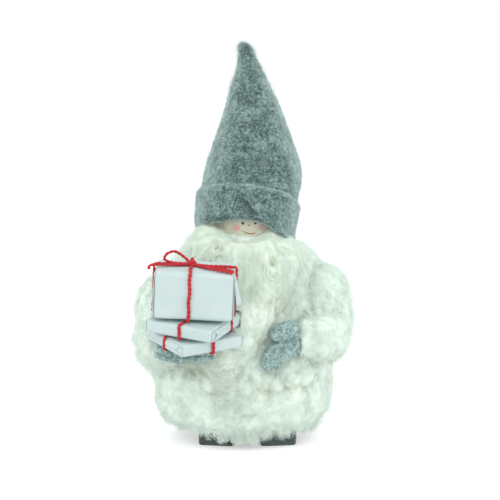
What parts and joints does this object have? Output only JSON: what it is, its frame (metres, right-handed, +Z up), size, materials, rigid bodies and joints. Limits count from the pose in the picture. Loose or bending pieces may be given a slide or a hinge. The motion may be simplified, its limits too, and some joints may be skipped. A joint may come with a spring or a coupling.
{
  "type": "tomte figure",
  "caption": "Standing folk tomte in a tall grey felt hat and shaggy sheepskin coat, holding a stack of paper parcels tied with red yarn on one mitten.",
  "frame": {"origin": "on the floor, under the middle of the figure's bounding box", "axes": "+Z up, the face looks along -Y, +X is the figure's own left hand"},
  "size_m": [0.1284, 0.1334, 0.2377],
  "materials": {
    "sheepskin": "long creamy wool",
    "beard_fleece": "combed curly fleece",
    "hat_felt": "mottled grey wool felt",
    "mitten_felt": "mottled grey wool felt",
    "hat_filling": "loose wool wadding",
    "head_wood": "pale turned wood with a painted face",
    "face_paint": "thin painted marks",
    "body_wood": "bare turned wood",
    "foot_wood": "dark grey painted wood",
    "wire": "bright drawn wire",
    "parcel_paper": "smooth white wrapping paper",
    "parcel_core": "plain board block",
    "parcel_yarn": "two-ply red wool yarn"
  },
  "bodies": {
    "body": {"right_foot": "foot_wood", "left_foot": "foot_wood", "right_leg_dowel": "body_wood", "left_leg_dowel": "body_wood", "body_block": "body_wood", "neck_dowel": "body_wood", "shoulder_wire": "wire", "head_ball": "head_wood", "coat": "sheepskin", "beard": "beard_fleece"},
    "hat_cap": {"hat": "hat_felt", "hat_wadding": "hat_filling"},
    "right_arm": {"right_sleeve": "sheepskin", "right_arm_wire": "wire", "right_mitten_front": "mitten_felt", "right_mitten_back": "mitten_felt", "bottom_parcel_wrap": "parcel_paper", "bottom_parcel_block": "parcel_core", "bottom_parcel_right_fold": "parcel_paper", "bottom_parcel_left_fold": "parcel_paper", "bottom_parcel_tie": "parcel_yarn", "middle_parcel_wrap": "parcel_paper", "middle_parcel_block": "parcel_core", "middle_parcel_right_fold": "parcel_paper", "middle_parcel_left_fold": "parcel_paper", "middle_parcel_tie": "parcel_yarn", "top_parcel_wrap": "parcel_paper", "top_parcel_block": "parcel_core", "top_parcel_right_fold": "parcel_paper", "top_parcel_left_fold": "parcel_paper", "top_parcel_tie": "parcel_yarn"},
    "left_arm": {"left_sleeve": "sheepskin", "left_arm_wire": "wire", "left_mitten_front": "mitten_felt", "left_mitten_back": "mitten_felt"}
  },
  "joints": [
    {"name": "hat_lift", "type": "slide", "parent": "body", "child": "hat_cap", "axis": [0.1564, 0.354, 0.9221], "range_m": [0, 0.06]},
    {"name": "right_arm_swing", "type": "hinge", "parent": "body", "child": "right_arm", "pos_m": [-0.046, 0.0179, 0.047], "axis": [0, 0, -1], "range_deg": [0, 30]},
    {"name": "left_arm_swing", "type": "hinge", "parent": "body", "child": "left_arm", "pos_m": [0.046, 0.0179, 0.047], "axis": [0, 0, 1], "range_deg": [0, 45]}
  ]
}
